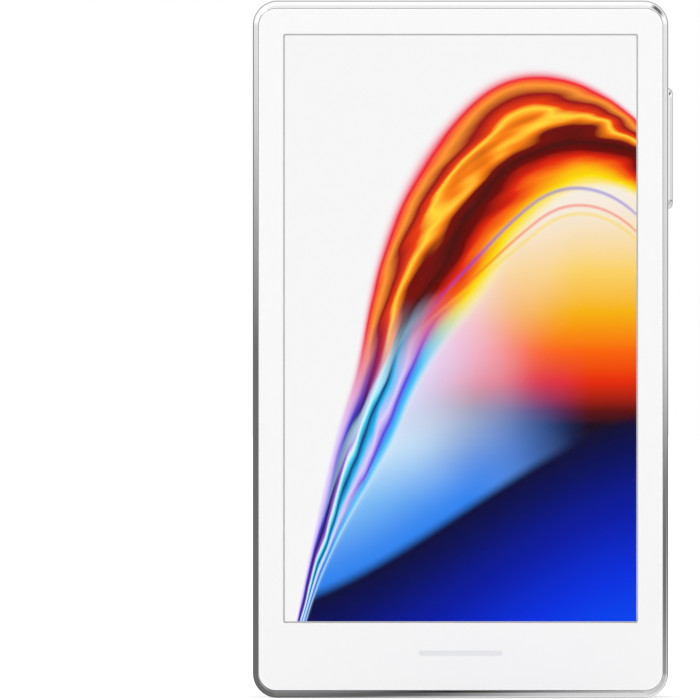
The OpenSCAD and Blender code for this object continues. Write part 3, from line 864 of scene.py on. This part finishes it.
def relief(height, depth, strength=0.5):
    """Bumps of a depth in millimetres, where height is 1."""
    sockets = {"Strength": strength, "Distance": depth * MM, "Height": height}
    return height.node("ShaderNodeBump", {}, sockets)


phosphor, place = new_material("phosphor_window")
x, y, z = parts(place)
away = distance(x - light_mid.x, z - light_mid.z)
core = 1 - away.step(0.3, 1.0)
ripple = place.math("SINE", away * 34)
dress(phosphor, {
    "Base Color": mixed(core, tint(196, 200, 70), tint(226, 222, 40)),
    "Roughness": 0.12,
    "Coat Weight": 1,
    "Coat Roughness": 0.02,
    "Normal": relief(ripple, 0.03, 0.25),
})
light_window = turned("light_window_moulded", light_mid, [
    (plug_flange, plug_low.y), (plug_flange, flange_top), (light_radius, flange_top),
    *arc(light_radius - plug_lip, plug_high.y - plug_lip, plug_lip, 0, 90, 4),
])
settle(light_window, phosphor)
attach(light_window, "housing")
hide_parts("flash_lens")


# Side button: one milled steel key with a pillowed face, polished like the frame. A flange inside
# keeps it in its slot, and a round nub on the flange reaches the switch.
pillow_round = 0.62
flange_depth = 0.62
nub_length = 0.45
nub_radius = 0.9
nub_round = 0.12
nub_overlap = 0.1
button_root = button_low.x + nub_length
button_key = rounded_block(
    "power_button_milled",
    (button_root, -button_half_width, button_mid_z - button_half_length),
    (button_high.x, button_half_width, button_mid_z + button_half_length),
    FULLY * button_half_width, steps=14, axis=X)
soften(button_key, X, button_high.x, pillow_round, steps=10)
flange = rounded_block(
    "button_flange", (button_root, button_low.y, button_low.z),
    (button_root + flange_depth, button_high.y, button_high.z), FULLY * button_high.y, steps=14, axis=X)
nub = rounded_block(
    "button_nub", (button_low.x, -nub_radius, button_mid_z - nub_radius),
    (button_root + nub_overlap, nub_radius, button_mid_z + nub_radius),
    FULLY * nub_radius, steps=10, axis=X)
soften(nub, X, button_low.x, nub_round, steps=3)
combine(button_key, flange, "UNION")
combine(button_key, nub, "UNION")
settle(button_key, polished)
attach(button_key, "button")
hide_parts("power_button")


# Tapes: thin black foam tape, die-cut to a ring under each glass and to strips under the battery.
# It holds the glasses to the frame's ledges and the battery to the mid plate.
tape, place = new_material("foam_tape")
threads = grain(place, 0.25, 3)
dress(tape, {
    "Base Color": mixed(threads, grey(0.012), grey(0.035)),
    "Roughness": 0.7 + 0.2 * threads,
    "Normal": relief(threads, 0.02),
})
wear(tape, "front_gasket", "back_gasket", "battery_adhesive")


# Foams: a frame of black open-cell foam behind the display and a ring of it round the camera keep
# both from rattling. They are die-cut and held by their own glue.
foam, place = new_material("open_cell_foam")
cells = place.node("ShaderNodeTexVoronoi", {}, {"Vector": place, "Scale": 3.5})
dress(foam, {
    "Base Color": mixed(cells, grey(0.008), grey(0.045)),
    "Roughness": 0.95,
    "Normal": relief(cells, 0.08, 0.8),
})
wear(foam, "display_foam", "camera_foam")


# Backlight: a moulded white tray with a sheet of clear plastic in it, printed with fine white dots
# that lead the light out evenly. Its edges are bound with grey tape.
light_tray, place = new_material("backlight_tray")
x, y, z = parts(place)
print_pitch = 0.6
tape_width = 0.9
print_dots = 1 - distance(repeated(x, print_pitch), repeated(z, print_pitch)).step(0.12, 0.17)
tray_low, tray_high = cad("backlight")
tray_half = (tray_high - tray_low) / 2
tray_mid = (tray_low + tray_high) / 2
to_edge = place.math("MINIMUM", tray_half.x - abs(x), tray_half.z - abs(z - tray_mid.z))
bound = 1 - to_edge.step(tape_width, tape_width + 0.1)
sheet_white = mixed(print_dots, tint(214, 220, 224), tint(248, 248, 246))
dress(light_tray, {
    "Base Color": mixed(bound, sheet_white, tint(120, 122, 126)),
    "Roughness": 0.3 + 0.35 * bound,
})
wear(light_tray, "backlight")


# Ribbons: copper lines between two films of amber polyimide, glued flat. The lines show through
# the film as lighter stripes.
ribbon, place = new_material("amber_ribbon")
x, y, z = parts(place)
stripes = place.math("SINE", x * 15).step(-0.2, 0.5)
mottle = grain(place, 1.2)
film = mixed(mottle, tint(150, 84, 16), tint(176, 106, 26))
dress(ribbon, {
    "Base Color": mixed(stripes * 0.8, film, tint(206, 140, 60)),
    "Roughness": 0.3 + 0.15 * mottle,
    "Normal": relief(stripes, 0.02, 0.4),
})
wear(ribbon, "display_flex", "link_flex", "battery_lead", "antenna_flex", "camera_flex", "side_key_flex")


# Chips and connectors: black epoxy moulded over the silicon or the contacts, with the faint
# sandblasted grain of the mould.
epoxy, place = new_material("moulded_epoxy")
blast = grain(place, 0.09, 3)
cure = grain(place, 3)
dress(epoxy, {
    "Base Color": mixed(cure, grey(0.012), grey(0.024)),
    "Roughness": 0.45 + 0.2 * blast,
    "Normal": relief(blast, 0.012),
})
wear(epoxy, "display_connector", "processor", "memory_chip", "power_chip", "radio_chip", "secure_chips",
     "link_connectors", "battery_connector")


# Sheet metal: the mid plate, the port's shell, the switch's bracket and the motor's case are pressed
# from stainless sheet, which keeps the fine lines of the rolling mill.
rolled, place = new_material("rolled_steel")
along_mill = place.node("ShaderNodeMapping", {}, {"Vector": place, "Scale": (12, 12, 0.35)})
mill_lines = grain(along_mill, 1, 3)
stain = grain(place, 6)
dress(rolled, {
    "Base Color": mixed(stain, grey(0.5), grey(0.62)),
    "Metallic": 1,
    "Roughness": 0.22 + 0.16 * mill_lines,
    "Normal": relief(mill_lines, 0.006, 0.3),
})
wear(rolled, "mid_plate", "usb_shell", "button_bracket", "motor_case")


# Screws and shaft: the screws of the mid plate and the boards, and the motor's shaft. They are
# turned from steel, with rolled threads, and plated with bright nickel.
nickel, place = new_material("nickel_plate")
x, y, z = parts(place)
cuts = place.math("SINE", (x + z) * 40)
soil = grain(place, 0.6)
dress(nickel, {
    "Base Color": mixed(soil, tint(196, 190, 178), tint(222, 217, 206)),
    "Metallic": 1,
    "Roughness": 0.2 + 0.1 * soil,
    "Normal": relief(cuts, 0.004, 0.3),
})
wear(nickel, "plate_screws", "board_screws", "motor_shaft")


# Circuit boards: glass-fibre laminate under dark green lacquer. Copper lines show through it in
# lighter green, with gold-plated pads between them.
laminate, place = new_material("circuit_laminate")
x, y, z = parts(place)
track_pitch = 0.55
pad_pitch = 1.4
pad_row_pitch = 1.8
pad_half_width = 0.22
pad_half_height = 0.16


def tracks_along(along, over):
    """1 on thin lines that run along one axis and break off at random, and 0 between them."""
    row = over.math("FLOOR", over / track_pitch)
    routed = over.node("ShaderNodeCombineXYZ", {}, {0: along * 0.22, 1: row * 7.3})
    laid = grain(routed, 1, 0).step(0.5, 0.51)
    to_line = over.math("WRAP", over, track_pitch, 0) - track_pitch / 2
    return laid * (1 - abs(to_line).step(0.07, 0.1))


tracks = tracks_along(x, z).above(tracks_along(z, x))
pads = (pad_half_width - abs(repeated(x, pad_pitch))).step(0, 0.02)
pads = pads * (pad_half_height - abs(repeated(z, pad_row_pitch))).step(0, 0.02)
pads = pads * grain(place, 5).step(0.5, 0.52)
lacquer = mixed(grain(place, 2), tint(10, 62, 40), tint(14, 74, 48))
lacquer = mixed(tracks, lacquer, tint(28, 104, 66))
dress(laminate, {
    "Base Color": mixed(pads, lacquer, tint(226, 184, 98)),
    "Metallic": pads,
    "Roughness": 0.32 + 0.1 * tracks,
    "Normal": relief(tracks + pads, 0.02),
})
wear(laminate, "main_board", "port_board", "protection_board", "flash_base")


# Shields: lids of tin-plated steel over the processor and the radio. The button's switch is a small
# case of the same sheet. Tin dulls in soft crystal patches.
tinned, place = new_material("tin_plate")
crystals = place.node("ShaderNodeTexVoronoi", {}, {"Vector": place, "Scale": 0.5}, 1)
shade = crystals.node("ShaderNodeSeparateColor", {}, {0: crystals})
dress(tinned, {
    "Base Color": mixed(shade, grey(0.52), grey(0.62)),
    "Metallic": 1,
    "Roughness": 0.26 + 0.12 * shade,
})
wear(tinned, "processor_shield", "radio_shield", "side_switch")


# Black plastic: the port's tongue, the camera's housing and barrel, the switch's plunger and the
# motor's base are moulded in glass-filled black resin.
resin, place = new_material("black_resin")
spark = grain(place, 0.12, 3)
dress(resin, {
    "Base Color": mixed(grain(place, 1.5), grey(0.01), grey(0.02)),
    "Roughness": 0.4 + 0.18 * spark,
    "Normal": relief(spark, 0.01, 0.4),
})
wear(resin, "usb_tongue", "camera_module", "camera_barrel", "switch_plunger", "motor_base")


# Port contacts: two rows of twelve strips of gold-plated copper, moulded into both faces of the
# port's tongue and standing just proud of it.
tongue_low, tongue_high = cad("usb_tongue")
tongue_half = tongue_high.y
contact_pitch = 0.5
contact_half = 0.13
contact_length = 3.4
contact_inset = 0.5
contact_sunk = 0.02
contact_corner = 0.06
contacts_per_row = 12
contact_start = tongue_low.z + contact_inset
contact_end = contact_start + contact_length
gold, place = new_material("gold_plate")
x, y, z = parts(place)
rubbed = z.step(contact_start, contact_end) * grain(place, 0.3)
dress(gold, {
    "Base Color": mixed(rubbed, tint(244, 200, 112), tint(222, 172, 84)),
    "Metallic": 1,
    "Roughness": 0.16 + 0.14 * rubbed,
})
first_contact = -(contacts_per_row - 1) / 2 * contact_pitch
contact_rows = rounded_block(
    "tongue_contacts",
    (first_contact - contact_half, -tongue_half - contact_sunk, contact_start),
    (first_contact + contact_half, -tongue_half + contact_sunk, contact_end), contact_corner, steps=3)
for count, stride in ((contacts_per_row, (contact_pitch, 0, 0)), (2, (0, 2 * tongue_half, 0))):
    rows = contact_rows.modifiers.new("rows", "ARRAY")
    rows.count = count
    rows.use_relative_offset = False
    rows.use_constant_offset = True
    rows.constant_offset_displace = stride
    bpy.ops.object.modifier_apply(modifier=rows.name)
settle(contact_rows, gold)
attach(contact_rows, "housing")


# Port seal: a moulded ring of soft grey silicone, squeezed between the port's shell and the frame
# to keep dust and water out.
silicone, place = new_material("grey_silicone")
bloom = grain(place, 0.8)
dress(silicone, {
    "Base Color": mixed(bloom, grey(0.045), grey(0.07)),
    "Roughness": 0.6 + 0.15 * bloom,
    "Normal": relief(grain(place, 0.1), 0.008, 0.3),
})
wear(silicone, "usb_gasket")


# Battery: a flat lithium cell, sealed in a pouch of aluminium foil and nylon that is slightly
# wrinkled. Adhesive strips hold it to the mid plate.
foil, place = new_material("pouch_foil")
wrinkles = grain(place, 5, 3)
weave = grain(place, 0.3)
dress(foil, {
    "Base Color": mixed(wrinkles, grey(0.5), grey(0.6)),
    "Metallic": 0.75,
    "Roughness": 0.34 + 0.12 * weave,
    "Normal": relief(wrinkles, 0.12, 0.6),
})
wear(foil, "battery_cell")


# Ferrite: a sheet of dark magnetic ceramic between plastic films. It is cracked on purpose into
# small tiles, so that it bends.
tiles, place = new_material("cracked_ferrite")
crack_place = {"Vector": place, "Scale": 0.45}
to_crack = place.node("ShaderNodeTexVoronoi", {"feature": "DISTANCE_TO_EDGE"}, crack_place)
crack = 1 - to_crack.step(0.02, 0.06)
dress(tiles, {
    "Base Color": mixed(crack, tint(46, 44, 46), tint(22, 21, 23)),
    "Roughness": 0.38 + 0.3 * crack,
    "Normal": relief(1 - crack, 0.02),
})
wear(tiles, "ferrite_sheet")


# Charging coil: enamelled copper wire, wound flat and glued to the ferrite. Each turn is made of fine
# strands side by side.
winding, place = new_material("enamelled_wire")
x, y, z = parts(place)
coil_mid = middle_of("ferrite_sheet")
from_mid = distance(x, z - coil_mid.z)
strands = place.math("SINE", from_mid * 24).step(-0.8, 0.8)
heat = grain(place, 4)
copper = mixed(heat, tint(196, 104, 58), tint(214, 124, 74))
dress(winding, {
    "Base Color": mixed(strands, tint(120, 54, 28), copper),
    "Metallic": 0.9,
    "Roughness": 0.26 + 0.1 * heat,
    "Normal": relief(strands, 0.05),
})
wear(winding, "charging_coil")


# Antenna carrier: a thin-walled box moulded in pale glass-filled nylon, with the antenna's film stuck
# to its top. The fibres show as faint flecks.
nylon, place = new_material("filled_nylon")
drawn = place.node("ShaderNodeMapping", {}, {"Vector": place, "Scale": (1.2, 6, 6)})
flecks = grain(drawn, 0.5, 3)
dress(nylon, {
    "Base Color": mixed(flecks, tint(206, 202, 188), tint(226, 223, 212)),
    "Roughness": 0.5 + 0.12 * flecks,
    "Normal": relief(flecks, 0.01, 0.3),
})
wear(nylon, "antenna_carrier")


# Light source: the small diode of the camera's light, under a layer of yellow phosphor in clear
# silicone. It is soldered to a base of its own.
source, place = new_material("phosphor_source")
powder = grain(place, 0.08, 3)
dress(source, {
    "Base Color": mixed(powder, tint(232, 214, 40), tint(246, 230, 84)),
    "Roughness": 0.35 + 0.2 * powder,
    "Coat Weight": 0.6,
    "Normal": relief(powder, 0.01),
})
wear(source, "flash_led")


# Motor weight: an off-centre half disc of sintered tungsten alloy, dark grey and slightly
# open-grained. It turns freely on the motor's shaft.
sintered, place = new_material("sintered_tungsten")
pores = grain(place, 0.15, 3)
dress(sintered, {
    "Base Color": mixed(pores, grey(0.16), grey(0.26)),
    "Metallic": 1,
    "Roughness": 0.38 + 0.2 * pores,
    "Normal": relief(pores, 0.015),
})
wear(sintered, "motor_rotor")
